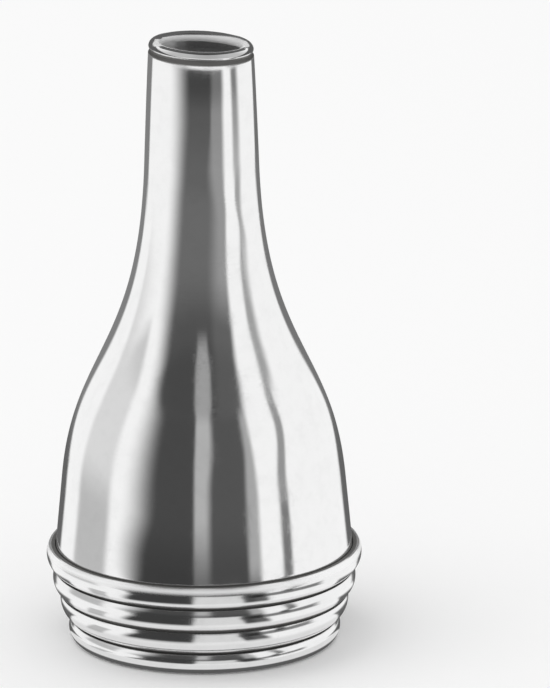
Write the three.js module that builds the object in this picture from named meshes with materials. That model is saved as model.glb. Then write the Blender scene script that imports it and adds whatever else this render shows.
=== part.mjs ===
// Ear speculum: a polished metal funnel with an oval tip, on a ribbed grip collar.
// Lengths are in millimetres. Z runs up the axis, from the mouth rim at zero to the tip.
// The wide way of the oval tip lies along X.
import * as THREE from 'three';

// Heights along the axis, from the mouth rim up
const collarHeight = 6.2;
const bellyHeight = 4.5;
const flareHeight = 20.65;
const neckLength = 8.1;

// Outside radii of the funnel, before its neck is pressed oval
const shoulderRadius = 9.46;
const bellyTopRadius = 9.045;
const neckFootRadius = 3.53;
const tipWideHalf = 3.46;
const tipNarrowHalf = 2.75;

// How strongly the flare's two ends hold on to the belly and to the neck
const bellyHoldShare = 0.395;
const neckHoldShare = 0.605;
// How far down the flare the oval goes before it is round
const ovalFadeShare = 0.43;

// Sheet of the funnel, and its thicker rounded lip
const sheetWall = 0.5;
const lipWall = 0.82;
const lipThickeningLength = 1.5;

// Grip collar: a turned ring pushed up the tapered skirt from the mouth end
const ledgeWidth = 0.37;
const collarTaper = 1.66;
const beadRise = 0.36;
const footWall = 0.68;
const seatLand = 0.3;
// Heights and radii of the grooves between the beads, from the ledge down to the rim
const grooveHeightShares = [1, 0.755, 0.497, 0.226, 0];
const grooveDropShares = [0, 0.256, 0.46, 0.9, 1];

// Solder between skirt and collar, and the bead of it that shows at the rim
const solderGap = 0.05;
const seamWidthShare = 0.45;
const seamTopShare = 0.7;
const seamRecessShare = 0.15;

// Fineness of the surfaces
const stepsAround = 64;
const flareSteps = 12;
const neckSteps = 4;
const lipSteps = 6;
const beadSteps = 7;
const meniscusSteps = 3;

// Heights worked out from the sizes above
const shoulderZ = collarHeight;
const bellyTopZ = shoulderZ + bellyHeight;
const neckFootZ = bellyTopZ + flareHeight;
const tipZ = neckFootZ + neckLength;
const lipRadius = lipWall / 2;
const lipCentreZ = tipZ - lipRadius;

// The tip's mean radius, and how far it is pressed out of round
const tipMeanRadius = (tipWideHalf + tipNarrowHalf) / 2;
const tipFlattening = (tipWideHalf - tipNarrowHalf) / 2;
const ovalLength = neckLength + flareHeight * ovalFadeShare;

// The collar's bore and the skirt inside it share one taper
const ledgeRadius = shoulderRadius + solderGap + ledgeWidth;
const rimRadius = ledgeRadius - collarTaper;
const rimBoreRadius = rimRadius - footWall;
const skirtEndRadius = rimBoreRadius - solderGap;
const seatZ = shoulderZ - seatLand;
const seamWidth = footWall * seamWidthShare;
const seamDepth = seamWidth;

const point = (radius, height) => new THREE.Vector2(radius, height);

// A smooth step from 0 to 1
const ease = (share) => {
  const t = THREE.MathUtils.clamp(share, 0, 1);
  return t * t * (3 - 2 * t);
};

// Half the difference between the wide and the narrow half width at a height
const flatteningAt = (height) => tipFlattening * ease((height - (tipZ - ovalLength)) / ovalLength);

// The sheet thickens into the lip just below the tip
const wallAt = (height) => {
  const share = ease((height - (tipZ - lipThickeningLength)) / lipThickeningLength);
  return sheetWall + (lipWall - sheetWall) * share;
};

// Outside line of the funnel from the rim to the start of the lip
function funnelOutside() {
  const shoulder = point(shoulderRadius, shoulderZ);
  const bellyTop = point(bellyTopRadius, bellyTopZ);
  const neckFoot = point(neckFootRadius, neckFootZ);
  const neckTop = point(tipMeanRadius, lipCentreZ);
  const bellyWay = bellyTop.clone().sub(shoulder).normalize();
  const neckWay = neckTop.clone().sub(neckFoot).normalize();
  const flare = new THREE.CubicBezierCurve(
    bellyTop,
    bellyTop.clone().addScaledVector(bellyWay, flareHeight * bellyHoldShare),
    neckFoot.clone().addScaledVector(neckWay, -flareHeight * neckHoldShare),
    neckFoot,
  );
  const line = [point(skirtEndRadius, 0), point(shoulderRadius, seatZ), shoulder];
  line.push(...flare.getPoints(flareSteps));
  for (let i = 1; i <= neckSteps; i += 1) {
    line.push(neckFoot.clone().lerp(neckTop, i / neckSteps));
  }
  return line;
}

// Inside line: each point moved in by the wall, square to the outside line
function funnelInside(outside) {
  return outside.map((at, i) => {
    const before = outside[Math.max(i - 1, 0)];
    const after = outside[Math.min(i + 1, outside.length - 1)];
    const way = after.clone().sub(before).normalize();
    const inward = point(-way.y, way.x);
    const inside = at.clone().addScaledVector(inward, wallAt(at.y));
    const atAnEnd = i === 0 || i === outside.length - 1;
    return atAnEnd ? point(inside.x, at.y) : inside;
  });
}

// A full round between the outside and the inside line, over the tip
function lipArc(outsideEnd, insideEnd) {
  const middle = outsideEnd.clone().add(insideEnd).multiplyScalar(1 / 2);
  const radius = (outsideEnd.x - insideEnd.x) / 2;
  const arc = [];
  for (let i = 1; i < lipSteps; i += 1) {
    const angle = (Math.PI * i) / lipSteps;
    arc.push(point(middle.x + radius * Math.cos(angle), middle.y + lipRadius * Math.sin(angle)));
  }
  return arc;
}

// Turns a closed outline about Z
function turned(outline) {
  const closed = [...outline, outline[0].clone()];
  const geometry = new THREE.LatheGeometry(closed, stepsAround);
  geometry.rotateX(Math.PI / 2);
  return geometry;
}

// Presses the round neck oval, and leaves its wall as thick as it was
function pressOval(geometry) {
  const places = geometry.attributes.position;
  for (let i = 0; i < places.count; i += 1) {
    const x = places.getX(i);
    const y = places.getY(i);
    const push = flatteningAt(places.getZ(i)) / Math.hypot(x, y);
    places.setX(i, x * (1 + push));
    places.setY(i, y * (1 - push));
  }
  geometry.computeVertexNormals();
  return geometry;
}

function funnelGeometry() {
  const outside = funnelOutside();
  const inside = funnelInside(outside);
  const lip = lipArc(outside.at(-1), inside.at(-1));
  return pressOval(turned([...outside, ...lip, ...inside.reverse()]));
}

// Convex arc from one groove down to the next, as high in the middle as beadRise
function beadArc(upper, lower) {
  const chord = lower.clone().sub(upper);
  const half = chord.length() / 2;
  const radius = (half * half + beadRise * beadRise) / (2 * beadRise);
  const outward = point(-chord.y, chord.x).normalize();
  const centre = upper.clone().add(lower).multiplyScalar(1 / 2).addScaledVector(outward, beadRise - radius);
  const start = Math.atan2(upper.y - centre.y, upper.x - centre.x);
  const end = Math.atan2(lower.y - centre.y, lower.x - centre.x);
  const arc = [];
  for (let i = 0; i < beadSteps; i += 1) {
    const angle = start + ((end - start) * i) / beadSteps;
    arc.push(point(centre.x + radius * Math.cos(angle), centre.y + radius * Math.sin(angle)));
  }
  return arc;
}

// Radius of the collar's tapered bore at a height below the seat land
const boreRadiusAt = (height) => {
  const boreTopRadius = shoulderRadius + solderGap;
  return rimBoreRadius + ((boreTopRadius - rimBoreRadius) * height) / seatZ;
};

function collarGeometry() {
  const grooves = grooveHeightShares.map((share, i) => (
    point(ledgeRadius - collarTaper * grooveDropShares[i], shoulderZ * share)
  ));
  const outline = [];
  for (let i = 0; i + 1 < grooves.length; i += 1) {
    outline.push(...beadArc(grooves[i], grooves[i + 1]));
  }
  outline.push(grooves.at(-1));
  outline.push(point(rimBoreRadius + seamWidth, 0));
  outline.push(point(boreRadiusAt(seamDepth), seamDepth));
  outline.push(point(boreRadiusAt(seatZ), seatZ));
  outline.push(point(boreRadiusAt(seatZ), shoulderZ));
  return turned(outline.reverse());
}

// Solder bead in the chamfer at the rim, with a hollowed face just above the rim plane
function seamGeometry() {
  const lowZ = seamDepth * seamRecessShare;
  const highZ = seamDepth * seamTopShare;
  const skirtSide = (height) => boreRadiusAt(height) - solderGap / 2;
  const chamferSide = (height) => {
    const rimEnd = rimBoreRadius + seamWidth;
    const top = boreRadiusAt(seamDepth);
    return rimEnd + ((top - rimEnd) * height) / seamDepth - solderGap / 2;
  };
  const outline = [point(skirtSide(highZ), highZ), point(skirtSide(lowZ), lowZ)];
  const width = chamferSide(lowZ) - skirtSide(lowZ);
  for (let i = 1; i < meniscusSteps; i += 1) {
    const share = i / meniscusSteps;
    const hollow = lowZ * Math.sin(Math.PI * share);
    outline.push(point(skirtSide(lowZ) + width * share, lowZ + hollow));
  }
  outline.push(point(chamferSide(lowZ), lowZ));
  outline.push(point(chamferSide(highZ), highZ));
  return turned(outline);
}

// A named piece with its finish
function piece(name, geometry, color, roughness) {
  const material = new THREE.MeshStandardMaterial({ color, roughness, metalness: 1 });
  const mesh = new THREE.Mesh(geometry, material);
  mesh.name = name;
  return mesh;
}

const speculum = new THREE.Group();
speculum.add(piece('funnel', funnelGeometry(), 0xd9dadb, 0.12));
speculum.add(piece('grip_collar', collarGeometry(), 0xcfd0d1, 0.16));
speculum.add(piece('solder_seam', seamGeometry(), 0x9a9b9a, 0.5));

export default speculum;
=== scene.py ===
"""Ear speculum: a polished metal funnel with an oval tip, wedged and soldered in a beaded collar.

It stands on its mouth on a pale floor. Lengths are in metres, and MM turns millimetres into them.
"""

import math

import bpy
from mathutils import Matrix, Vector, noise


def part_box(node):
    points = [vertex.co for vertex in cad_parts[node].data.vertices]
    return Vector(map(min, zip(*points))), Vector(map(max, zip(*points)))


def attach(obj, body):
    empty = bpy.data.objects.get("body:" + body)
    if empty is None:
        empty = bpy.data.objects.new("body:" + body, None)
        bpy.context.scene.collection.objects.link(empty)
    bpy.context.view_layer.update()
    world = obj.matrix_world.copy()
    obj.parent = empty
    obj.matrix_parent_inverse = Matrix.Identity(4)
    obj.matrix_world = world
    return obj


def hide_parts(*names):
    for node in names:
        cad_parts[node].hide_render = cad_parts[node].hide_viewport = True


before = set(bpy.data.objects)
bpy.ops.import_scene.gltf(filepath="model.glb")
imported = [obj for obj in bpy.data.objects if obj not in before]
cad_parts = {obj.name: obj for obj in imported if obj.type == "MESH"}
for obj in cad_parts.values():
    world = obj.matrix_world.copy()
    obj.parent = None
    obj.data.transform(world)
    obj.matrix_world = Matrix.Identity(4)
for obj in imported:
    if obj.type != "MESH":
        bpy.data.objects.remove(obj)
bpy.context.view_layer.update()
MM = 0.001
# Turns a vector in metres into millimetres
TO_MM = (1 / MM, 1 / MM, 1 / MM)

# The photograph: its frame, its scale, where the axis meets the floor, and the view
PHOTO_WIDE, PHOTO_HIGH = 550, 688
PIXELS_PER_MM = 15.65
FOOT_ACROSS, FOOT_DOWN = 204.7, 634.5
VIEW_AZIMUTH = math.radians(25)
VIEW_ELEVATION = math.radians(17)
LEAN = math.radians(0.3)
CAMERA_AWAY = 1300 * MM
SENSOR = 36

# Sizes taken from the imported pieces
TIP_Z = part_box("funnel")[1].z
SHOULDER_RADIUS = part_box("funnel")[1].x
COLLAR_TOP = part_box("grip_collar")[1].z
SEAM_LOW, SEAM_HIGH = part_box("solder_seam")

# Heights and outside radii of the funnel, before its neck is pressed oval
BELLY_HEIGHT = 4.5 * MM
FLARE_HEIGHT = 20.65 * MM
NECK_LENGTH = TIP_Z - COLLAR_TOP - BELLY_HEIGHT - FLARE_HEIGHT
BELLY_TOP_RADIUS = 9.045 * MM
NECK_FOOT_RADIUS = 3.53 * MM
TIP_WIDE_HALF = 3.46 * MM
TIP_NARROW_HALF = 2.75 * MM

# How strongly the flare's two ends hold on to the belly and to the neck
BELLY_HOLD_SHARE = 0.395
NECK_HOLD_SHARE = 0.605
# How far down the flare the oval goes before it is round
OVAL_FADE_SHARE = 0.43

# Sheet of the funnel, its rolled lip, and the fine hollow turned under the lip
SHEET = 0.5 * MM
LIP_WALL = 0.82 * MM
LIP_THICKENING = 1.5 * MM
HOLLOW_BELOW_TIP = 0.6 * MM
HOLLOW_WIDTH = 0.46 * MM
HOLLOW_DEPTH = 0.08 * MM

# Grip collar: four beads, and the fine crevices that part them
LEDGE_WIDTH = 0.37 * MM
COLLAR_TAPER = 1.66 * MM
BEAD_RISE = 0.352 * MM
FOOT_WALL = 0.68 * MM
SEAT_LAND = 0.3 * MM
SOLDER_GAP = 0.05 * MM
CREVICE_WIDTH = 0.18 * MM
CREVICE_DEPTH = 0.1 * MM
# Heights and radii of the grooves between the beads, from the ledge down to the rim
GROOVE_HEIGHT_SHARES = [1, 0.755, 0.497, 0.226, 0]
GROOVE_DROP_SHARES = [0, 0.256, 0.46, 0.9, 1]
# How much of the collar's foot the solder takes
SEAM_WIDTH_SHARE = 0.45

# Painted shade in tarnish's colour, with some tarnish: under the lip, at the ledge and beside the
# crevices
SHADE_BELOW_TIP = 0.63 * MM
SHADE_HALF = 0.4 * MM
SHADE_AT_LEDGE = 0.22 * MM
SHADED_LEDGE_WIDTH = 0.22 * MM
SHADE_ABOVE_CREVICE = 0.38 * MM
SHADE_BELOW_CREVICE = 0.21 * MM

# A painted highlight of pale metal on the collar, just below its ledge
HIGHLIGHT_BELOW_LEDGE = 0.2 * MM
HIGHLIGHT_WIDTH = 0.3 * MM

# Painted shade and painted light at the points of the collar's inner line, from the ledge down to the
# rim
LEDGE_TO_RIM_SHADE = [0.75, 1, 1, 0.3, 0.3]
LEDGE_TO_RIM_LIGHT = [0.2, 0, 0, 0, 0]

# Where light is painted on the lip as pale metal, in degrees inward of its crown. It spreads over
# the crown on the near side of the oval's two ends, and draws back at the near middle and along the far
# side.
LIP_LIGHT_FROM, LIP_LIGHT_SOFT = 5, 16
NEAR_SPREAD_RIGHT, NEAR_SPREAD_LEFT, NEAR_SPREAD_AT = 25, 45, 0.3
NEAR_DRAW, NEAR_DRAW_FROM, NEAR_DRAW_OVER = 60, 0.4, 0.3
FAR_RIGHT_DRAW, FAR_RIGHT_DRAW_OVER, FAR_RIGHT_CURVE = 15, 0.3, 40
FAR_LEFT_DRAW, FAR_LEFT_DRAW_OVER, FAR_LEFT_SLOPE = 41, 0.35, 14

# Painted light in the bore: a narrow band at the lip, and one end of the oval, faintly and then fully
LIP_LIGHT_INSIDE = 0.15 * MM
LIP_LIGHT_END_SHARPNESS = 8
BORE_LIGHT_DEPTH = 1.6 * MM
BORE_LIGHT_FAINT, FAINT_FROM, FAINT_OVER = 0.3, 0.2, 0.12
BORE_LIGHT_FULL, FULL_FROM, FULL_OVER = 0.7, 0.43, 0.17

# How far the hand-finished surface wanders from true, and where it does
WANDER = 0.012 * MM
WANDER_PER_MM = 0.16
WANDER_FADE = 2 * MM
STEADY_BELOW_TIP = 3 * MM

# Fineness of the surfaces
AROUND = 192
LINE_STEP = 0.22 * MM
FINE_STEP = 0.03 * MM
LIP_STEPS = 28
BEAD_STEPS = 30
FILLET_STEPS = 6
SHARP_OVER = math.radians(50)


def ease(share):
    """A smooth step from 0 to 1."""
    t = min(max(share, 0), 1)
    return t * t * (3 - 2 * t)


def bump_at(value, centre, half_width):
    """1 at the centre, and 0 half a width away on either side."""
    return 1 - ease(abs(value - centre) / half_width)


# Shader maths

# Sockets of the Mix node that share their names with others on it
MIX_SHARE, FIRST_COLOUR, SECOND_COLOUR, MIXED_COLOUR = 0, 6, 7, 2
# The middle value of a noise
MIDDLE = 0.5


class Shade:
    """One output of a node. Arithmetic on it adds Math nodes."""

    def __init__(self, finish, socket):
        self.finish = finish
        self.socket = socket

    def __add__(self, other):
        return self.finish.maths("ADD", self, other)

    def __sub__(self, other):
        return self.finish.maths("SUBTRACT", self, other)

    def __mul__(self, other):
        return self.finish.maths("MULTIPLY", self, other)

    def __radd__(self, other):
        return self.finish.maths("ADD", other, self)

    def __rsub__(self, other):
        return self.finish.maths("SUBTRACT", other, self)

    def __rmul__(self, other):
        return self.finish.maths("MULTIPLY", other, self)


class Finish:
    """A node tree, of a material or the world, and the ways that it grows."""

    def __init__(self, owner):
        owner.use_nodes = True
        self.owner = owner
        self.tree = owner.node_tree
        self.tree.nodes.clear()

    def node(self, kind, settings=None, sockets=None, output=0):
        """Adds a node: its settings first, then the values or links of its sockets."""
        made = self.tree.nodes.new("ShaderNode" + kind)
        for key, value in (settings or {}).items():
            setattr(made, key, value)
        for key, value in (sockets or {}).items():
            if isinstance(value, Shade):
                self.tree.links.new(value.socket, made.inputs[key])
            else:
                made.inputs[key].default_value = value
        return Shade(self, made.outputs[output]) if made.outputs else made

    def maths(self, operation, first, second=0.0):
        return self.node("Math", {"operation": operation}, {0: first, 1: second})

    def rise(self, value, low, high):
        """A smooth step up: 0 below low, 1 above high."""
        return self.node(
            "MapRange",
            {"interpolation_type": "SMOOTHSTEP"},
            {"Value": value, "From Min": low, "From Max": high},
        )

    def fall(self, value, low, high):
        """A smooth step down: 1 below low, 0 above high."""
        return 1 - self.rise(value, low, high)

    def band(self, value, low, high, soft_below, soft_above):
        """1 between low and high, with soft edges outside them."""
        return self.rise(value, low - soft_below, low) * self.fall(value, high, high + soft_above)

    def planned(self, value, plan):
        """A plan's number at a value: its first number, then each (change, from, to) on the way."""
        number = plan[0]
        for change, low, high in plan[1:]:
            number = number + change * self.rise(value, low, high)
        return number

    def mixed(self, share, first, second):
        """One number or another, by a share."""
        return first * (1 - share) + second * share

    def tint(self, share, first, second):
        """One colour or another, by a share."""
        return self.node(
            "Mix",
            {"data_type": "RGBA"},
            {MIX_SHARE: share, FIRST_COLOUR: first, SECOND_COLOUR: second},
            MIXED_COLOUR,
        )

    def scaled(self, vector, factors):
        return self.node("VectorMath", {"operation": "MULTIPLY"}, {0: vector, 1: factors})

    def trait(self, name):
        """A number that the maker of the mesh gave to each of its points."""
        return self.node("Attribute", {"attribute_name": name}, {}, "Fac")

    def millimetres(self):
        """A place on the piece, in millimetres."""
        return self.scaled(self.node("TexCoord", {}, {}, "Object"), TO_MM)

    def grain(self, place, per_mm, detail, rough):
        return self.node(
            "TexNoise", {}, {"Vector": place, "Scale": per_mm, "Detail": detail, "Roughness": rough}
        )

    def hairlines(self, place, along, across, keep):
        """Thin straight scratches: noise drawn out along one way, kept near its middle value."""
        streaks = self.grain(self.scaled(place, (across, across, along)), per_mm=1, detail=3, rough=0.6)
        return self.fall(self.maths("ABSOLUTE", streaks - MIDDLE), 0, keep)

    def metal(self, colour, metallic, roughness, relief, strength, depth):
        """Shows a metal surface with a relief of some depth."""
        bump = self.node("Bump", {}, {"Strength": strength, "Distance": depth, "Height": relief})
        looks = {"Base Color": colour, "Metallic": metallic, "Roughness": roughness, "Normal": bump}
        self.shows(self.node("BsdfPrincipled", {}, looks))

    def glows(self, level):
        return self.node("Emission", {}, {"Color": level, "Strength": 1})

    def glows_where(self, shown, level):
        """A glow at some places, and nothing at the others."""
        clear = self.node("BsdfTransparent")
        return self.node("MixShader", {}, {0: shown, 1: clear, 2: self.glows(level)})

    def shows(self, surface):
        kind = "OutputWorld" if isinstance(self.owner, bpy.types.World) else "OutputMaterial"
        self.node(kind, {}, {"Surface": surface})


def grey(level):
    return (level, level, level, 1)


# Finishes of the metal

# Pale metal that stands in for painted light
PAINTED_LIGHT_METAL = grey(0.95)
SCRATCHED_METAL = grey(0.6)
SATIN_PALE, SATIN_DARK = grey(0.8), grey(0.66)
# The colour of tarnish and of painted shade
TARNISH_AND_SHADE = (0.12, 0.118, 0.114, 1)
BORE_STAIN = (0.42, 0.41, 0.4, 1)
SOLDER_PALE, SOLDER_DARK = (0.52, 0.52, 0.5, 1), (0.34, 0.34, 0.33, 1)
# How noise is stretched into marks around the axis
TURNING_MARKS, RUBBED_AROUND, BORE_MARKS = (0.15, 0.15, 9), (0.4, 0.4, 6), (0.3, 0.3, 12)


def plated(name, level, polish):
    """Bright plate: turning marks, hairlines, haze and a fine grain, with tarnish and painted shade.

    Where light is painted it is pale metal that no longer mirrors.
    """
    finish = Finish(bpy.data.materials.new(name))
    place = finish.millimetres()
    cloud = finish.grain(place, per_mm=0.45, detail=4, rough=0.55)
    haze = finish.rise(finish.grain(place, per_mm=1.1, detail=4, rough=0.5), low=0.4, high=0.75)
    fine = finish.grain(place, per_mm=14, detail=2, rough=0.6)
    rings = finish.grain(finish.scaled(place, TURNING_MARKS), per_mm=1, detail=3, rough=0.6)
    wiped = finish.hairlines(place, along=0.5, across=5, keep=0.012)
    rubbed = finish.hairlines(finish.scaled(place, RUBBED_AROUND), along=1, across=1, keep=0.01)
    scratches = finish.maths("MAXIMUM", wiped, rubbed) * finish.rise(cloud, low=0.42, high=0.7)

    fine_share, cloud_share = 0.3, 0.25
    # Painted shade with some tarnish: a trait of the mesh, made uneven by noise
    uneven = finish.trait("tarnish_and_shade") + (fine - MIDDLE) * fine_share + (cloud - MIDDLE) * cloud_share
    tarnish_and_shade = finish.rise(uneven, low=0.3, high=0.75)
    # Painted light: paler metal that no longer mirrors
    painted_light = finish.trait("painted_light")

    haze_share, haze_dulls, scratches_show = 0.5, 0.94, 0.12
    dulled = haze * haze_share + cloud * (1 - haze_share)
    bright = finish.tint(dulled, grey(level), grey(level * haze_dulls))
    bright = finish.tint(painted_light, bright, PAINTED_LIGHT_METAL)
    scratched = finish.tint(scratches * scratches_show, bright, SCRATCHED_METAL)
    colour = finish.tint(tarnish_and_shade, scratched, TARNISH_AND_SHADE)

    cloud_rough, haze_rough, scratch_rough, tarnish_and_shade_rough, painted_light_rough = 0.04, 0.03, 0.05, 0.35, 0.4
    roughness = polish + cloud * cloud_rough + haze * haze_rough + scratches * scratch_rough
    roughness = roughness + tarnish_and_shade * tarnish_and_shade_rough + painted_light * painted_light_rough
    tarnish_and_shade_hides, painted_light_hides = 0.6, 0.6
    metallic = 1 - tarnish_and_shade * tarnish_and_shade_hides - painted_light * painted_light_hides
    rings_stand, fine_stands, scratches_sink = 0.5, 0.4, 0.25
    relief = rings * rings_stand + fine * fine_stands - scratches * scratches_sink
    finish.metal(colour, metallic, roughness, relief, strength=0.35, depth=0.004 * MM)
    return finish.owner


def satin_bore():
    """The inside: dulled plate with turning marks and stain, never polished after plating."""
    finish = Finish(bpy.data.materials.new("satin_bore"))
    place = finish.millimetres()
    cloud = finish.grain(place, per_mm=0.5, detail=4, rough=0.6)
    rings = finish.grain(finish.scaled(place, BORE_MARKS), per_mm=1, detail=3, rough=0.65)
    stain = finish.rise(finish.grain(place, per_mm=0.9, detail=5, rough=0.65), low=0.5, high=0.75)
    # Painted light: pale metal at the lip and deeper in at one end of the bore
    painted_light = finish.trait("painted_light")

    stain_shows = 0.6
    satin = finish.tint(cloud, SATIN_PALE, SATIN_DARK)
    colour = finish.tint(stain * stain_shows, satin, BORE_STAIN)
    colour = finish.tint(painted_light, colour, PAINTED_LIGHT_METAL)
    stain_hides, painted_light_hides = 0.2, 0.8
    metallic = 1 - stain * stain_hides - painted_light * painted_light_hides
    satin_rough, rings_rough, stain_rough = 0.5, 0.1, 0.1
    roughness = satin_rough + rings * rings_rough + stain * stain_rough
    cloud_stands = 0.5
    relief = rings + cloud * cloud_stands
    finish.metal(colour, metallic, roughness, relief, strength=0.5, depth=0.006 * MM)
    return finish.owner


def dull_solder():
    """Soft solder: grey, lumpy and a little frosted."""
    finish = Finish(bpy.data.materials.new("dull_solder"))
    place = finish.millimetres()
    lumps = finish.grain(place, per_mm=2.2, detail=3, rough=0.5)
    frost = finish.grain(place, per_mm=18, detail=3, rough=0.7)
    colour = finish.tint(lumps, SOLDER_PALE, SOLDER_DARK)
    bare, frost_hides = 0.85, 0.1
    metallic = bare - frost * frost_hides
    dull, frost_rough = 0.42, 0.2
    roughness = dull + frost * frost_rough
    frost_stands = 0.3
    relief = lumps + frost * frost_stands
    finish.metal(colour, metallic, roughness, relief, strength=0.6, depth=0.02 * MM)
    return finish.owner


# Turned pieces


def turned(name, outline, traits, finishes, second_from, shape=None):
    """Turns a closed outline of (radius, height) points, going up its outside, about the axis.

    Each trait is worked out from a point's number on the outline and its angle. The points from
    second_from on take the second finish.
    """
    rows = len(outline)
    places = []
    for k in range(AROUND):
        angle = math.tau * k / AROUND
        for radius, height in outline:
            place = Vector((radius * math.cos(angle), radius * math.sin(angle), height))
            places.append(shape(place) if shape else place)
    faces = []
    for k in range(AROUND):
        here, there = k * rows, (k + 1) % AROUND * rows
        for i in range(rows):
            j = (i + 1) % rows
            faces.append((here + i, there + i, there + j, here + j))
    mesh = bpy.data.meshes.new(name)
    mesh.from_pydata(places, [], faces)
    mesh.shade_smooth()
    mesh.set_sharp_from_angle(angle=SHARP_OVER)
    for finish in finishes:
        mesh.materials.append(finish)
    kinds = [1 if i >= second_from else 0 for i in range(rows)] * AROUND
    mesh.polygons.foreach_set("material_index", kinds)
    for trait, value_at in traits.items():
        values = [value_at(i, math.tau * k / AROUND) for k in range(AROUND) for i in range(rows)]
        mesh.attributes.new(trait, "FLOAT", "POINT").data.foreach_set("value", values)
    piece = bpy.data.objects.new(name, mesh)
    bpy.context.scene.collection.objects.link(piece)
    return piece


def stand_for(piece, node):
    """Puts a piece in a node's stead: hides the node and hangs the piece on the root body."""
    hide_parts(node)
    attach(piece, "root")


# Funnel

BELLY_TOP_Z = COLLAR_TOP + BELLY_HEIGHT
NECK_FOOT_Z = BELLY_TOP_Z + FLARE_HEIGHT
LIP_RADIUS = LIP_WALL / 2
LIP_CENTRE_Z = TIP_Z - LIP_RADIUS
TIP_MEAN_RADIUS = (TIP_WIDE_HALF + TIP_NARROW_HALF) / 2
LIP_CENTRE_RADIUS = TIP_MEAN_RADIUS - LIP_RADIUS
TIP_FLATTENING = (TIP_WIDE_HALF - TIP_NARROW_HALF) / 2
OVAL_LENGTH = NECK_LENGTH + FLARE_HEIGHT * OVAL_FADE_SHARE

# The collar's bore and the skirt inside it share one taper
LEDGE_RADIUS = SHOULDER_RADIUS + SOLDER_GAP + LEDGE_WIDTH
RIM_RADIUS = LEDGE_RADIUS - COLLAR_TAPER
RIM_BORE_RADIUS = RIM_RADIUS - FOOT_WALL
SKIRT_END_RADIUS = RIM_BORE_RADIUS - SOLDER_GAP
SEAT_Z = COLLAR_TOP - SEAT_LAND


def straight(start, end):
    """Points from start up to but not including end, about a line step apart."""
    steps = max(1, round((end - start).length / LINE_STEP))
    return [start.lerp(end, i / steps) for i in range(steps)]


def flare_line(start, start_way, end, end_way):
    """The flare's curve, whose two ends hold on to the belly's line and to the neck's line."""
    first = start + start_way * FLARE_HEIGHT * BELLY_HOLD_SHARE
    second = end - end_way * FLARE_HEIGHT * NECK_HOLD_SHARE
    steps = round(FLARE_HEIGHT / LINE_STEP)
    points = []
    for i in range(steps):
        t = i / steps
        s = 1 - t
        points.append(start * s**3 + first * 3 * s * s * t + second * 3 * s * t * t + end * t**3)
    return points


def funnel_outside():
    skirt_end = Vector((SKIRT_END_RADIUS, 0))
    seat = Vector((SHOULDER_RADIUS, SEAT_Z))
    shoulder = Vector((SHOULDER_RADIUS, COLLAR_TOP))
    belly_top = Vector((BELLY_TOP_RADIUS, BELLY_TOP_Z))
    neck_foot = Vector((NECK_FOOT_RADIUS, NECK_FOOT_Z))
    neck_top = Vector((TIP_MEAN_RADIUS, LIP_CENTRE_Z))
    belly_way = (belly_top - shoulder).normalized()
    neck_way = (neck_top - neck_foot).normalized()
    line = straight(skirt_end, seat) + straight(seat, shoulder) + straight(shoulder, belly_top)
    line += flare_line(belly_top, belly_way, neck_foot, neck_way)
    return line + fine_end(straight(neck_foot, neck_top) + [neck_top])


def fine_end(line):
    """Splits the last stretch of the neck's line finely, for the hollow under the lip."""
    start_z = TIP_Z - HOLLOW_BELOW_TIP - HOLLOW_WIDTH
    low = [p for p in line if p.y < start_z]
    base, top = low[-1], line[-1]
    steps = round((top.y - base.y) / FINE_STEP)
    return low + [base.lerp(top, i / steps) for i in range(1, steps + 1)]


def wall_at(height):
    return SHEET + (LIP_WALL - SHEET) * ease((height - (TIP_Z - LIP_THICKENING)) / LIP_THICKENING)


def funnel_inside(outside):
    """Each point of the outside line, moved in by the wall, square to the line."""
    inside = []
    last = len(outside) - 1
    for i, at in enumerate(outside):
        way = (outside[min(i + 1, last)] - outside[max(i - 1, 0)]).normalized()
        moved = at + Vector((-way.y, way.x)) * wall_at(at.y)
        inside.append(Vector((moved.x, at.y)) if i in (0, last) else moved)
    return inside


def lip_arc(outside_end, inside_end):
    """A full round between the outside and the inside line, over the tip."""
    middle = (outside_end + inside_end) / 2
    radius = (outside_end.x - inside_end.x) / 2
    turns = [math.pi * i / LIP_STEPS for i in range(1, LIP_STEPS)]
    return [middle + Vector((radius * math.cos(t), LIP_RADIUS * math.sin(t))) for t in turns]


def hollow_share(height):
    return bump_at(height, TIP_Z - HOLLOW_BELOW_TIP, HOLLOW_WIDTH / 2)


def press_oval(place):
    """Presses the neck oval, and lets the hand-finished surface wander a little."""
    push = TIP_FLATTENING * ease((place.z - (TIP_Z - OVAL_LENGTH)) / OVAL_LENGTH)
    around = Vector((place.x, place.y)).length
    pressed = Vector((place.x * (1 + push / around), place.y * (1 - push / around), place.z))
    clear_of_collar = ease((place.z - COLLAR_TOP) / WANDER_FADE)
    clear_of_tip = 1 - ease((place.z - TIP_Z + STEADY_BELOW_TIP) / WANDER_FADE)
    drift = noise.noise(pressed / MM * WANDER_PER_MM) * WANDER * clear_of_collar * clear_of_tip
    return pressed - Vector((place.x, place.y, 0)) / around * abs(drift)


def lip_light_start(across, toward):
    """How far inward of the lip's crown its painted light starts, in degrees.

    Across runs from -1 at the left end to 1 at the right, and toward from -1 far to 1 near.
    """
    if toward > 0:
        spread = NEAR_SPREAD_RIGHT if across > 0 else NEAR_SPREAD_LEFT
        reach = spread * bump_at(toward, NEAR_SPREAD_AT, NEAR_SPREAD_AT)
        return LIP_LIGHT_FROM - reach + NEAR_DRAW * ease((toward - NEAR_DRAW_FROM) / NEAR_DRAW_OVER)
    if across > 0:
        drawn = FAR_RIGHT_DRAW * ease(-toward / FAR_RIGHT_DRAW_OVER)
        return LIP_LIGHT_FROM + drawn + FAR_RIGHT_CURVE * toward * toward
    drawn = FAR_LEFT_DRAW * ease(-toward / FAR_LEFT_DRAW_OVER)
    return LIP_LIGHT_FROM + drawn - FAR_LEFT_SLOPE * toward


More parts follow.
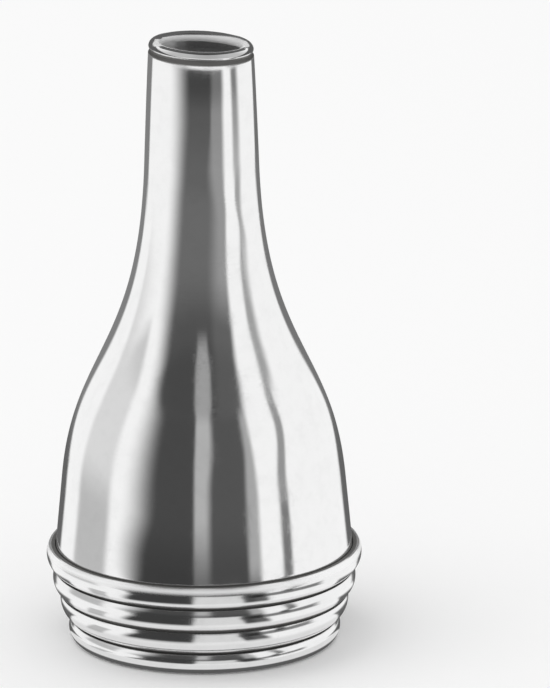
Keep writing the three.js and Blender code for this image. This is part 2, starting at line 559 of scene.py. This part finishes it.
def lip_painted_light(at, inner_radius, across, toward):
    """Painted light on the rolled lip, as pale metal on the side that faces the bore."""
    turn = math.atan2(at.y - LIP_CENTRE_Z, inner_radius + LIP_RADIUS - at.x)
    inward = math.degrees(math.pi / 2 - turn)
    return ease((inward - lip_light_start(across, toward)) / LIP_LIGHT_SOFT + 1 / 2)


def bore_painted_light(at, across):
    """Painted light in the bore: a narrow band at the lip, and deeper in at the oval's left end."""
    reach = LIP_LIGHT_INSIDE * (1 - across**LIP_LIGHT_END_SHARPNESS)
    rim = 1 - ease((LIP_CENTRE_Z - reach - at.y) / (LIP_LIGHT_INSIDE / 2))
    side = BORE_LIGHT_FAINT * ease((-across - FAINT_FROM) / FAINT_OVER)
    side += BORE_LIGHT_FULL * ease((-across - FULL_FROM) / FULL_OVER)
    return max(rim, side * (1 - ease((TIP_Z - at.y) / BORE_LIGHT_DEPTH - 1 / 2)))


def funnel_tarnish_and_shade(at):
    """Painted shade with some tarnish, on the outside: under the lip, and where the belly meets the
    ledge.
    """
    on_outside = at.x > LIP_CENTRE_RADIUS
    under_lip = bump_at(at.y, TIP_Z - SHADE_BELOW_TIP, SHADE_HALF) if on_outside else 0
    at_ledge = 1 - ease((at.y - COLLAR_TOP) / SHADE_AT_LEDGE)
    return max(under_lip, at_ledge)


def make_funnel():
    """The spun shell, from its skirt in the collar up to its rolled oval lip."""
    outside = funnel_outside()
    inside = funnel_inside(outside)
    cut = [Vector((p.x - HOLLOW_DEPTH * hollow_share(p.y), p.y)) for p in outside]
    lip = lip_arc(outside[-1], inside[-1])
    outline = cut + lip + inside[::-1]
    bore_from = len(cut) + len(lip)
    inner_radius = inside[-1].x

    # Painted shade with some tarnish, under the lip and at the belly's foot by the ledge
    def tarnish_and_shade(i, angle):
        return funnel_tarnish_and_shade(outline[i]) if i < bore_from else 0

    # Painted light on the lip and in the bore
    def painted_light(i, angle):
        if i < len(cut):
            return 0
        at = outline[i]
        across, toward = math.cos(angle - VIEW_AZIMUTH), math.sin(VIEW_AZIMUTH - angle)
        on_lip = at.y >= LIP_CENTRE_Z
        return lip_painted_light(at, inner_radius, across, toward) if on_lip else bore_painted_light(at, across)

    finishes = [plated("bright_plate", level=0.9, polish=0.05), satin_bore()]
    traits = {"tarnish_and_shade": tarnish_and_shade, "painted_light": painted_light}
    funnel = turned("funnel_spun", outline, traits, finishes, bore_from - 1, press_oval)
    stand_for(funnel, "funnel")


# Collar


def bead_arc(lower, upper):
    """The bead's round from its lower crevice up to the next."""
    chord = upper - lower
    half = chord.length / 2
    radius = (half * half + BEAD_RISE * BEAD_RISE) / (2 * BEAD_RISE)
    outward = Vector((chord.y, -chord.x)).normalized()
    centre = (upper + lower) / 2 + outward * (BEAD_RISE - radius)
    start = math.atan2(lower.y - centre.y, lower.x - centre.x)
    end = math.atan2(upper.y - centre.y, upper.x - centre.x)
    turns = [start + (end - start) * i / BEAD_STEPS for i in range(BEAD_STEPS + 1)]
    return [centre + Vector((math.cos(turn), math.sin(turn))) * radius for turn in turns]


def crevice(at):
    """The fine slit between two beads, square to the axis."""
    floor_radius = at.x - CREVICE_DEPTH
    low, high = at.y - CREVICE_WIDTH / 2, at.y + CREVICE_WIDTH / 2
    return [Vector((floor_radius, low)), Vector((floor_radius, high))]


def bore_radius_at(height):
    return RIM_BORE_RADIUS + (SHOULDER_RADIUS + SOLDER_GAP - RIM_BORE_RADIUS) * height / SEAT_Z


def collar_bore():
    """The ledge's inner edge and the tapered bore, down to the chamfer at the rim."""
    seam_width = FOOT_WALL * SEAM_WIDTH_SHARE
    return [
        # The inner end of the painted shade on the ledge
        Vector((bore_radius_at(SEAT_Z) + SHADED_LEDGE_WIDTH, COLLAR_TOP)),
        Vector((bore_radius_at(SEAT_Z), COLLAR_TOP)),
        Vector((bore_radius_at(SEAT_Z), SEAT_Z)),
        Vector((bore_radius_at(seam_width), seam_width)),
        Vector((RIM_BORE_RADIUS + seam_width, 0)),
    ]


def make_collar():
    """The turned ring: four beads parted by crevices, with tarnish and painted shade at them and a
    painted highlight at the top.
    """
    grooves = [
        Vector((LEDGE_RADIUS - COLLAR_TAPER * drop, COLLAR_TOP * share))
        for share, drop in zip(GROOVE_HEIGHT_SHARES, GROOVE_DROP_SHARES)
    ][::-1]
    beads = len(grooves) - 1
    # Points of a bead's round that a crevice takes away
    cut_away = 2
    outline, tarnish_and_shade, painted_light = [], [], []
    for i in range(beads):
        first, last = i == 0, i == beads - 1
        bead = bead_arc(grooves[i], grooves[i + 1])
        bead = bead[0 if first else cut_away:]
        bead = bead if last else bead[:-cut_away]
        outline += bead
        for p in bead:
            # Painted shade with some tarnish, spreading from the crevices
            from_below = 0 if first else bump_at(p.y, grooves[i].y, SHADE_ABOVE_CREVICE)
            from_above = 0 if last else bump_at(p.y, grooves[i + 1].y, SHADE_BELOW_CREVICE)
            tarnish_and_shade.append(max(from_below, from_above))
            # A painted highlight just below the ledge
            painted_light.append(bump_at(p.y, COLLAR_TOP - HIGHLIGHT_BELOW_LEDGE, HIGHLIGHT_WIDTH))
        if not last:
            outline += crevice(grooves[i + 1])
            tarnish_and_shade += [1, 1]
            painted_light += [0, 0]
    # The bore's own finish starts below the ledge and the land that the funnel seats on
    ledge_points = 2
    bore_from = len(outline) + ledge_points
    outline += collar_bore()
    tarnish_and_shade += LEDGE_TO_RIM_SHADE
    painted_light += LEDGE_TO_RIM_LIGHT
    finishes = [plated("bead_plate", level=0.88, polish=0.1), satin_bore()]
    traits = {"tarnish_and_shade": lambda i, angle: tarnish_and_shade[i], "painted_light": lambda i, angle: painted_light[i]}
    collar = turned("collar_turned", outline, traits, finishes, bore_from)
    stand_for(collar, "grip_collar")


# Solder


def make_seam():
    """The hollow-faced fillet of solder in the chamfer at the rim."""
    low, high = SEAM_LOW.z, SEAM_HIGH.z
    seam_width = FOOT_WALL * SEAM_WIDTH_SHARE
    rim_end = RIM_BORE_RADIUS + seam_width
    chamfer_slope = (bore_radius_at(seam_width) - rim_end) / seam_width

    def chamfer(height):
        return rim_end + chamfer_slope * height - SOLDER_GAP / 2

    def skirt(height):
        return bore_radius_at(height) - SOLDER_GAP / 2

    outline = [
        Vector((chamfer(low), low)),
        Vector((chamfer(high), high)),
        Vector((skirt(high), high)),
        Vector((skirt(low), low)),
    ]
    width = chamfer(low) - skirt(low)
    for i in range(1, FILLET_STEPS):
        share = i / FILLET_STEPS
        outline.append(Vector((skirt(low) + width * share, low + low * math.sin(math.pi * share))))
    seam = turned("solder_fillet", outline, {}, [dull_solder()], len(outline))
    stand_for(seam, "solder_seam")


# Stage

FLOOR_Z = -0.01 * MM
FLOOR_REACH = 3000 * MM
FLOOR_LEVEL, FLOOR_ROUGHNESS, FLOOR_IOR = 0.975, 0.9, 1.01

LAMP_PLACE = Vector((-300, -250, 900)) * MM
LAMP_SIZE = 700 * MM
LAMP_POWER = 1.6

# The surround's level: as seen, and as it lights the object
SURROUND_SEEN, SURROUND_LIGHT = 1, 0.85

VIEW_WAY = Vector((math.sin(VIEW_AZIMUTH), -math.cos(VIEW_AZIMUTH), 0))
RIGHT_WAY = Vector((math.cos(VIEW_AZIMUTH), math.sin(VIEW_AZIMUTH), 0))

# Round screens about the axis, in millimetres: one close to the belly, one around the tip, and a
# tent far out. The apron is the close one's flat part, from the collar's foot to its wall. A
# roof stops just short of the axis.
RING_RADIUS, RING_TOP, RING_FADE = 22, 26.4, 2.6
TIP_SCREEN_RADIUS, TIP_SCREEN_LOW, TIP_SCREEN_TOP, TIP_SCREEN_FADE = 9, 29.2, 45.5, 2
TENT_RADIUS, TENT_TOP = 150, 400
APRON_START, APRON_LIFT = 8.3, 0.02
ROOF_HOLE = 0.001
SCREEN_STEPS = 96

# Cards on the screens, which the metal reflects: a dark core in front with a slit of light in it,
# a narrow flag to its right, a grey one far to the left, and a dark one behind, seen in the
# outlines. Angles are in degrees to the right of the camera's side, and heights in millimetres.
# A shade is a level of light, and a darkness is the share of the light that a card takes away.
# A plan holds a number at the foot, then each change on the way up: (change, from, to height).
# The ends of a soft edge are named UP_FROM and UP_TO where they are heights, and OUT_FROM and
# OUT_TO where they are distances from the axis.

# The angles between which the left outline's darkness turns into the right one's
SIDES_MEET = (-20, 20)

# The tent: low down it holds what the neck's foot reflects, and above that the flare's cards
TENT_FLARE = (0, (1, 40, 80))
TENT_CORE_LEFT = (-36, (-4, 40, 80), (-6, 94, 108))
TENT_CORE_LEFT_SOFT = (37, (-11, 40, 80))
TENT_CORE_RIGHT = (31.5, (5, 6, 14), (0.5, 38, 55), (4, 98, 118))
TENT_CORE_RIGHT_SOFT = (7, (2, 40, 80))
TENT_NECK_SHADE = (0.12, (0.035, 7, 20))
TENT_NECK_PALE = 0.33
TENT_NECK_PALE_FROM, TENT_NECK_PALE_TO = (0, (4, 7, 20)), (19, (12, 7, 20))
TENT_FLARE_SHADE, TENT_FLARE_PALE = (0.09, (-0.02, 85, 105)), (0.13, (-0.02, 85, 105))
TENT_FLARE_PALE_ENDS = (8, 20)
TENT_SLIT_LEFT, TENT_SLIT_RIGHT = (-5, (-2, 95, 112)), (4, (3, 95, 112))
TENT_SLIT_SOFT = 4
TENT_SLIT_LIGHT = (0, (0.3, 80, 100))
TENT_FLAG = (65, (10.5, 4, 13), (-3.5, 14, 30), (3.5, 60, 85), (6, 85, 105), (5, 108, 120))
TENT_FLAG_LEFT, TENT_FLAG_RIGHT = -3, 2
TENT_FLAG_LEFT_SOFT, TENT_FLAG_RIGHT_SOFT = 6, 12
TENT_FLAG_DARKNESS = 0.62
TENT_GREY_LEFT, TENT_GREY_RIGHT = (-101, (-5, 94, 108)), (-80, (-5, 94, 108))
TENT_GREY_SOFT = 8
TENT_GREY_DARKNESS = (0, (0.36, 48, 66))
TENT_BEHIND, TENT_BEHIND_SOFT = (126, (14, 40, 80)), 6
TENT_BEHIND_DARKNESS = (0.77, 0.8)
TENT_CARDS_UP_TO = (150, 230)

# The ring and its apron: from the foot up, the beads' cards and then the belly's
APRON_UP_TO = (1.5, 3.5)
RING_CORE_LEFT = (-41, (5, 3, 5), (6, 6, 9))
RING_CORE_LEFT_SOFT = (8, (18, 3, 5), (2, 6, 9))
RING_CORE_RIGHT, RING_CORE_RIGHT_SOFT = 34, 4
RING_CORE_OUT_FROM = (10.5, 13)
RING_LEFT_SHADE, RING_RIGHT_SHADE = (0.05, (0.02, 5, 9)), (0.07, (0.025, 5, 9))
RING_SHADES_MEET = (-5, 5)
RING_PALE_FROM, RING_PALE_SOFT = (26, (2, 12, 20)), 4
RING_PALE = (0.12, (0.3, 3.5, 6))
RING_SLIT_LEFT, RING_SLIT_RIGHT = -4.5, (0.5, (2.5, 12, 20))
RING_SLIT_LEFT_SOFT, RING_SLIT_RIGHT_SOFT = 3, 6
RING_SLIT_SHADE = (0.14, (0.34, 4, 9.5))
RING_GLINT_LEFT, RING_GLINT_RIGHT = -4, 20
RING_GLINT_LEFT_SOFT, RING_GLINT_RIGHT_SOFT = 3.5, 3
RING_GLINT_UP_TO = (3, 4.5)
RING_GLINT_SHADE = 0.75
RING_FLAG = (50, (5, 3.6, 4.4), (8, 12, 22))
RING_FLAG_HALF, RING_FLAG_SOFT = 2, 3
RING_FLAG_DARKNESS = (0, (0.82, 0.6, 1.5), (-0.14, 7, 12))
RING_GREY_LEFT, RING_GREY_RIGHT, RING_GREY_SOFT = -96, -70, 7
RING_GREY_DARKNESS = (0, (0.46, 1.5, 3.5), (-0.22, 7, 14))
RING_BEHIND, RING_BEHIND_SOFT = (122, (9, 8, 14), (-7, 15, 23)), 6
RING_BEHIND_LEFT, RING_BEHIND_RIGHT = (0.87, (-0.1, 8, 14)), (0.87, (-0.06, 8, 14))

# Small cards on the apron and at the ring's foot: a strip at the right, a smudge at the left, the
# dark far side, and a shadow and a line around the collar's foot
STRIP_LEFT, STRIP_RIGHT, STRIP_SOFT = 30, 72, 8
STRIP_OUT_FROM, STRIP_UP_TO, STRIP_DARKNESS = (17.5, 19), (2.2, 3), 0.78
SMUDGE_LEFT, SMUDGE_RIGHT, SMUDGE_SOFT = -70, -60, 4
SMUDGE_OUT_FROM, SMUDGE_OUT_TO, SMUDGE_DARKNESS = (10, 11), (15, 16), 0.45
FAR_SIDE_ACROSS, FAR_SIDE_OUT_TO, FAR_SIDE_DARKNESS = (-1, -0.4), (13, 16), 0.87
FOOT_SHADOW_OUT_TO, FOOT_SHADOW_DARKNESS = (10, 12), 0.2
FOOT_LINE_OUT_TO, FOOT_LINE_DARKNESS = (8.7, 8.85), 0.86

# The tip's screen, low down: the neck's cards. The oval turns its reflections with the height.
NECK_TURNED, NECK_TURNED_FROM, NECK_TURNED_PER_MM = 3.8, 29.3, 0.95
NECK_CORE_LEFT, NECK_CORE_LEFT_SOFT = (-22, (5, 30.5, 34.5)), (33, (5, 30.5, 34.5))
NECK_CORE_RIGHT, NECK_CORE_RIGHT_SOFT = (30, (1, 34.3, 36.5)), (9, (1, 34.3, 36.5))
NECK_SHADE = (0.135, (-0.025, 30.5, 34.5), (-0.048, 34.3, 36.5))
NECK_PALE = (0.33, (-0.04, 30.5, 34.5), (-0.105, 34.3, 36.5))
NECK_PALE_FROM, NECK_PALE_TO = (4.5, (7.5, 30.5, 34.5)), (20, (-3, 30.5, 34.5), (4, 34.3, 36.5))
NECK_FLAG_LEFT, NECK_FLAG_RIGHT = 55.5, 59.5
NECK_FLAG_LEFT_SOFT, NECK_FLAG_RIGHT_SOFT = 7, 11.5
NECK_FLAG_DARKNESS = (0.53, (0.12, 30.5, 34.5), (0.13, 34.3, 36.5))
NECK_BEHIND, NECK_BEHIND_SOFT = 108, 5
NECK_BEHIND_DARKNESS = (0.77, 0.83)

# The tip's screen, higher up: the lip's cards, on the wall and on the roof, a window behind, and
# the paper between them. Here the plans run along the angle from the camera's side, either way
# round, in place of the height.
LIP_CARDS_UP_FROM = (37.34, 37.44)
LIP_PAPER = (0.43, (0.12, 0, 50), (0.45, 60, 120))
LIP_PAPER_UP_FROM = (38.8, 39.6)
LIP_WALL_LOW, LIP_WALL_LOW_SOFT = (37.4, (-0.6, 90, 115)), (0.3, (0.1, 90, 115))
LIP_WALL_HIGH, LIP_WALL_HIGH_PER_DEGREE, LIP_WALL_HIGH_SOFT = 35.3, 0.068, 0.4
LIP_ROOF_CARD_ENDS, LIP_ROOF_CARD_CURVE = (4, 5), 0.12
LIP_ROOF_EDGE = 0.2
LIP_WINDOW_SIDES, LIP_WINDOW_UP_TO = (162, 166), (41.2, 42)
LIP_CARDS_DARKNESS = 0.88


def stage_mesh(name, places, faces, finish):
    mesh = bpy.data.meshes.new(name)
    mesh.from_pydata(places, [], faces)
    mesh.materials.append(finish)
    piece = bpy.data.objects.new(name, mesh)
    bpy.context.scene.collection.objects.link(piece)
    return piece


def pale_floor():
    finish = Finish(bpy.data.materials.new("pale_floor"))
    looks = {"Base Color": grey(FLOOR_LEVEL), "Roughness": FLOOR_ROUGHNESS, "IOR": FLOOR_IOR}
    finish.shows(finish.node("BsdfPrincipled", {}, looks))
    ends = [(-1, -1), (1, -1), (1, 1), (-1, 1)]
    corners = [(x * FLOOR_REACH, y * FLOOR_REACH, FLOOR_Z) for x, y in ends]
    stage_mesh("floor", corners, [(0, 1, 2, 3)], finish.owner)


def placed(finish):
    """How far a place is right of the axis, towards the camera's side, and up, in millimetres."""
    place = finish.scaled(finish.node("NewGeometry", {}, {}, "Position"), TO_MM)
    dot = {"operation": "DOT_PRODUCT"}
    right = finish.node("VectorMath", dot, {0: place, 1: RIGHT_WAY}, "Value")
    near = finish.node("VectorMath", dot, {0: place, 1: VIEW_WAY}, "Value")
    return right, near, finish.node("SeparateXYZ", {}, {0: place}, "Z")


def angle_of(finish, right, near):
    """The angle about the axis, in degrees to the right of the camera's side."""
    return finish.maths("ARCTAN2", right, near) * math.degrees(1)


def dimmed(level, where, darkness):
    """A level made darker where a card stands."""
    return level * (1 - where * darkness)


def dark_behind(finish, level, angle, start, soft, left_darkness, right_darkness):
    """A level with the dark card behind the object, which its two outlines reflect."""
    behind = finish.rise(finish.maths("ABSOLUTE", angle), start, start + soft)
    right_side = finish.rise(angle, *SIDES_MEET)
    return dimmed(level, behind, finish.mixed(right_side, left_darkness, right_darkness))


def tent_finish():
    """Cards on the tent, which the neck's foot and the steep of the flare reflect."""
    finish = Finish(bpy.data.materials.new("tent_cards"))
    right, near, height = placed(finish)
    angle = angle_of(finish, right, near)

    def at_height(plan):
        return finish.planned(height, plan)

    pale = finish.rise(angle, at_height(TENT_NECK_PALE_FROM), at_height(TENT_NECK_PALE_TO))
    neck_shade = finish.mixed(pale, at_height(TENT_NECK_SHADE), TENT_NECK_PALE)
    pale = finish.rise(angle, *TENT_FLARE_PALE_ENDS)
    flare_shade = finish.mixed(pale, at_height(TENT_FLARE_SHADE), at_height(TENT_FLARE_PALE))
    shade = finish.mixed(at_height(TENT_FLARE), neck_shade, flare_shade)
    slit = finish.band(
        angle, at_height(TENT_SLIT_LEFT), at_height(TENT_SLIT_RIGHT), TENT_SLIT_SOFT, TENT_SLIT_SOFT
    )
    shade = shade + slit * at_height(TENT_SLIT_LIGHT)
    core = finish.band(
        angle,
        at_height(TENT_CORE_LEFT),
        at_height(TENT_CORE_RIGHT),
        at_height(TENT_CORE_LEFT_SOFT),
        at_height(TENT_CORE_RIGHT_SOFT),
    )
    level = finish.mixed(core, 1, shade)

    line = at_height(TENT_FLAG)
    flag = finish.band(
        angle, line + TENT_FLAG_LEFT, line + TENT_FLAG_RIGHT, TENT_FLAG_LEFT_SOFT, TENT_FLAG_RIGHT_SOFT
    )
    level = dimmed(level, flag, TENT_FLAG_DARKNESS)
    grey_card = finish.band(
        angle, at_height(TENT_GREY_LEFT), at_height(TENT_GREY_RIGHT), TENT_GREY_SOFT, TENT_GREY_SOFT
    )
    level = dimmed(level, grey_card, at_height(TENT_GREY_DARKNESS))
    behind = at_height(TENT_BEHIND)
    level = dark_behind(finish, level, angle, behind, TENT_BEHIND_SOFT, *TENT_BEHIND_DARKNESS)
    level = finish.mixed(finish.rise(height, *TENT_CARDS_UP_TO), level, 1)
    finish.shows(finish.glows(level))
    return finish.owner


def ring_finish():
    """Cards on the close ring and its apron, which the belly and the collar reflect."""
    finish = Finish(bpy.data.materials.new("ring_cards"))
    right, near, height = placed(finish)
    angle = angle_of(finish, right, near)
    away = finish.maths("SQRT", right * right + near * near)

    def at_height(plan):
        return finish.planned(height, plan)

    right_side = finish.rise(angle, *RING_SHADES_MEET)
    shade = finish.mixed(right_side, at_height(RING_LEFT_SHADE), at_height(RING_RIGHT_SHADE))
    pale_from = at_height(RING_PALE_FROM)
    pale = finish.rise(angle, pale_from, pale_from + RING_PALE_SOFT)
    shade = finish.mixed(pale, shade, at_height(RING_PALE))
    slit_right = at_height(RING_SLIT_RIGHT)
    slit = finish.band(angle, RING_SLIT_LEFT, slit_right, RING_SLIT_LEFT_SOFT, RING_SLIT_RIGHT_SOFT)
    shade = finish.mixed(slit, shade, at_height(RING_SLIT_SHADE))
    glint = finish.band(
        angle, RING_GLINT_LEFT, RING_GLINT_RIGHT, RING_GLINT_LEFT_SOFT, RING_GLINT_RIGHT_SOFT
    )
    shade = finish.mixed(glint * finish.fall(height, *RING_GLINT_UP_TO), shade, RING_GLINT_SHADE)
    core = finish.band(
        angle,
        at_height(RING_CORE_LEFT),
        RING_CORE_RIGHT,
        at_height(RING_CORE_LEFT_SOFT),
        RING_CORE_RIGHT_SOFT,
    )
    level = finish.mixed(core * finish.rise(away, *RING_CORE_OUT_FROM), 1, shade)

    line = at_height(RING_FLAG)
    flag = finish.band(
        angle, line - RING_FLAG_HALF, line + RING_FLAG_HALF, RING_FLAG_SOFT, RING_FLAG_SOFT
    )
    level = dimmed(level, flag, at_height(RING_FLAG_DARKNESS))
    grey_card = finish.band(angle, RING_GREY_LEFT, RING_GREY_RIGHT, RING_GREY_SOFT, RING_GREY_SOFT)
    level = dimmed(level, grey_card, at_height(RING_GREY_DARKNESS))
    level = dark_behind(
        finish,
        level,
        angle,
        at_height(RING_BEHIND),
        RING_BEHIND_SOFT,
        at_height(RING_BEHIND_LEFT),
        at_height(RING_BEHIND_RIGHT),
    )
    level = apron_cards(finish, level, angle, near, away, height)
    shown = finish.fall(height, RING_TOP - RING_FADE, RING_TOP)
    finish.shows(finish.glows_where(shown, level))
    return finish.owner


def apron_cards(finish, level, angle, near, away, height):
    """A level with the small cards on the apron and at the ring's foot."""
    apron = finish.fall(height, *APRON_UP_TO)
    strip = finish.band(angle, STRIP_LEFT, STRIP_RIGHT, STRIP_SOFT, STRIP_SOFT)
    strip = strip * finish.rise(away, *STRIP_OUT_FROM) * finish.fall(height, *STRIP_UP_TO)
    level = dimmed(level, strip, STRIP_DARKNESS)
    smudge = finish.band(angle, SMUDGE_LEFT, SMUDGE_RIGHT, SMUDGE_SOFT, SMUDGE_SOFT)
    smudge = smudge * finish.rise(away, *SMUDGE_OUT_FROM) * finish.fall(away, *SMUDGE_OUT_TO)
    level = dimmed(level, smudge * apron, SMUDGE_DARKNESS)
    far_side = finish.fall(near, *FAR_SIDE_ACROSS) * finish.fall(away, *FAR_SIDE_OUT_TO)
    level = dimmed(level, far_side * apron, FAR_SIDE_DARKNESS)
    level = dimmed(level, finish.fall(away, *FOOT_SHADOW_OUT_TO) * apron, FOOT_SHADOW_DARKNESS)
    return dimmed(level, finish.fall(away, *FOOT_LINE_OUT_TO), FOOT_LINE_DARKNESS)


def neck_cards(finish, angle, height):
    """The level of the light that the neck reflects."""

    def at_height(plan):
        return finish.planned(height, plan)

    front = angle + NECK_TURNED + NECK_TURNED_PER_MM * (height - NECK_TURNED_FROM)
    pale = finish.rise(front, at_height(NECK_PALE_FROM), at_height(NECK_PALE_TO))
    shade = finish.mixed(pale, at_height(NECK_SHADE), at_height(NECK_PALE))
    core = finish.band(
        front,
        at_height(NECK_CORE_LEFT),
        at_height(NECK_CORE_RIGHT),
        at_height(NECK_CORE_LEFT_SOFT),
        at_height(NECK_CORE_RIGHT_SOFT),
    )
    level = finish.mixed(core, 1, shade)
    flag = finish.band(
        front, NECK_FLAG_LEFT, NECK_FLAG_RIGHT, NECK_FLAG_LEFT_SOFT, NECK_FLAG_RIGHT_SOFT
    )
    level = dimmed(level, flag, at_height(NECK_FLAG_DARKNESS))
    return dark_behind(finish, level, angle, NECK_BEHIND, NECK_BEHIND_SOFT, *NECK_BEHIND_DARKNESS)


def lip_cards(finish, angle, right, near, height):
    """The level of the light that the lip and the bore's mouth reflect."""
    turned_away = finish.maths("ABSOLUTE", angle)
    low = finish.planned(turned_away, LIP_WALL_LOW)
    wall = finish.rise(height, low, low + finish.planned(turned_away, LIP_WALL_LOW_SOFT))
    high = LIP_WALL_HIGH + turned_away * LIP_WALL_HIGH_PER_DEGREE
    wall = wall * finish.fall(height, high - LIP_WALL_HIGH_SOFT, high + LIP_WALL_HIGH_SOFT)
    roof = finish.fall(near + right * right * LIP_ROOF_CARD_CURVE, *LIP_ROOF_CARD_ENDS)
    on_roof = finish.rise(height, TIP_SCREEN_TOP - LIP_ROOF_EDGE, TIP_SCREEN_TOP)
    window = finish.rise(turned_away, *LIP_WINDOW_SIDES) * finish.fall(height, *LIP_WINDOW_UP_TO)
    cards = finish.mixed(on_roof, wall, roof) * (1 - window)
    paper = finish.planned(turned_away, LIP_PAPER)
    paper = finish.mixed(finish.rise(height, *LIP_PAPER_UP_FROM), 1, paper)
    return dimmed(paper, cards, LIP_CARDS_DARKNESS)


def tip_finish():
    """Cards on the small screen around the tip: low down the neck's, and above them the lip's."""
    finish = Finish(bpy.data.materials.new("tip_cards"))
    right, near, height = placed(finish)
    angle = angle_of(finish, right, near)
    neck = neck_cards(finish, angle, height)
    lip = lip_cards(finish, angle, right, near, height)
    level = finish.mixed(finish.rise(height, *LIP_CARDS_UP_FROM), neck, lip)
    shown = finish.rise(height, TIP_SCREEN_LOW, TIP_SCREEN_LOW + TIP_SCREEN_FADE)
    finish.shows(finish.glows_where(shown, level))
    return finish.owner


def screen(name, outline, finish):
    """Turns an open outline of (radius, height) points, in millimetres, into a round screen.

    It is seen in the metal only.
    """
    rows = len(outline)
    places, faces = [], []
    for k in range(SCREEN_STEPS):
        angle = math.tau * k / SCREEN_STEPS
        here, there = k * rows, (k + 1) % SCREEN_STEPS * rows
        places += [Vector((r * math.cos(angle), r * math.sin(angle), z)) * MM for r, z in outline]
        faces += [(here + i, there + i, there + i + 1, here + i + 1) for i in range(rows - 1)]
    card = stage_mesh(name, places, faces, finish)
    card.visible_camera = False
    card.visible_diffuse = False
    card.visible_transmission = False
    card.visible_volume_scatter = False
    card.visible_shadow = False


def light_screens():
    """The tent far out, the close ring with its apron, and the small screen around the tip."""
    tent = [
        (RING_RADIUS, APRON_LIFT),
        (TENT_RADIUS, APRON_LIFT),
        (TENT_RADIUS, TENT_TOP),
        (ROOF_HOLE, TENT_TOP),
    ]
    ring = [(APRON_START, APRON_LIFT), (RING_RADIUS, APRON_LIFT), (RING_RADIUS, RING_TOP)]
    tip = [
        (TIP_SCREEN_RADIUS, TIP_SCREEN_LOW),
        (TIP_SCREEN_RADIUS, TIP_SCREEN_TOP),
        (ROOF_HOLE, TIP_SCREEN_TOP),
    ]
    screen("light_tent", tent, tent_finish())
    screen("light_ring", ring, ring_finish())
    screen("light_at_tip", tip, tip_finish())


def soft_lamp():
    lamp = bpy.data.lights.new("soft_lamp", "AREA")
    lamp.shape = "DISK"
    lamp.size = LAMP_SIZE
    lamp.energy = LAMP_POWER
    source = bpy.data.objects.new("soft_lamp", lamp)
    bpy.context.scene.collection.objects.link(source)
    source.location = LAMP_PLACE
    source.rotation_euler = LAMP_PLACE.to_track_quat("Z", "Y").to_euler()
    source.visible_glossy = False


def white_world():
    """A white surround, a little dimmer where it lights the object than where it is seen."""
    world = bpy.data.worlds.new("white_surround")
    bpy.context.scene.world = world
    finish = Finish(world)
    seen = finish.node("LightPath", {}, {}, "Is Camera Ray")
    glossy = finish.node("LightPath", {}, {}, "Is Glossy Ray")
    level = finish.mixed(finish.maths("MAXIMUM", seen, glossy), SURROUND_LIGHT, SURROUND_SEEN)
    finish.shows(finish.node("Background", {}, {"Color": level, "Strength": 1}))


def aim_camera():
    """Looks from the photograph's side, with the axis' foot at its place in the frame."""
    away = VIEW_WAY * math.cos(VIEW_ELEVATION) + Vector((0, 0, math.sin(VIEW_ELEVATION)))
    above = away.cross(RIGHT_WAY)
    across = RIGHT_WAY * math.cos(LEAN) - above * math.sin(LEAN)
    up = above * math.cos(LEAN) + RIGHT_WAY * math.sin(LEAN)
    middle = across * (PHOTO_WIDE / 2 - FOOT_ACROSS) + up * (FOOT_DOWN - PHOTO_HIGH / 2)
    spot = middle / PIXELS_PER_MM * MM + away * CAMERA_AWAY
    camera = bpy.data.cameras.new("photo_camera")
    camera.sensor_width = SENSOR
    camera.lens = SENSOR * CAMERA_AWAY / (PHOTO_HIGH / PIXELS_PER_MM * MM)
    holder = bpy.data.objects.new("photo_camera", camera)
    bpy.context.scene.collection.objects.link(holder)
    turn = Matrix((across, up, away)).transposed()
    holder.matrix_world = Matrix.Translation(spot) @ turn.to_4x4()
    bpy.context.scene.camera = holder


bpy.context.scene.view_settings.view_transform = "Standard"
aim_camera()
make_funnel()
make_collar()
make_seam()
pale_floor()
light_screens()
soft_lamp()
white_world()

bpy.context.view_layer.update()
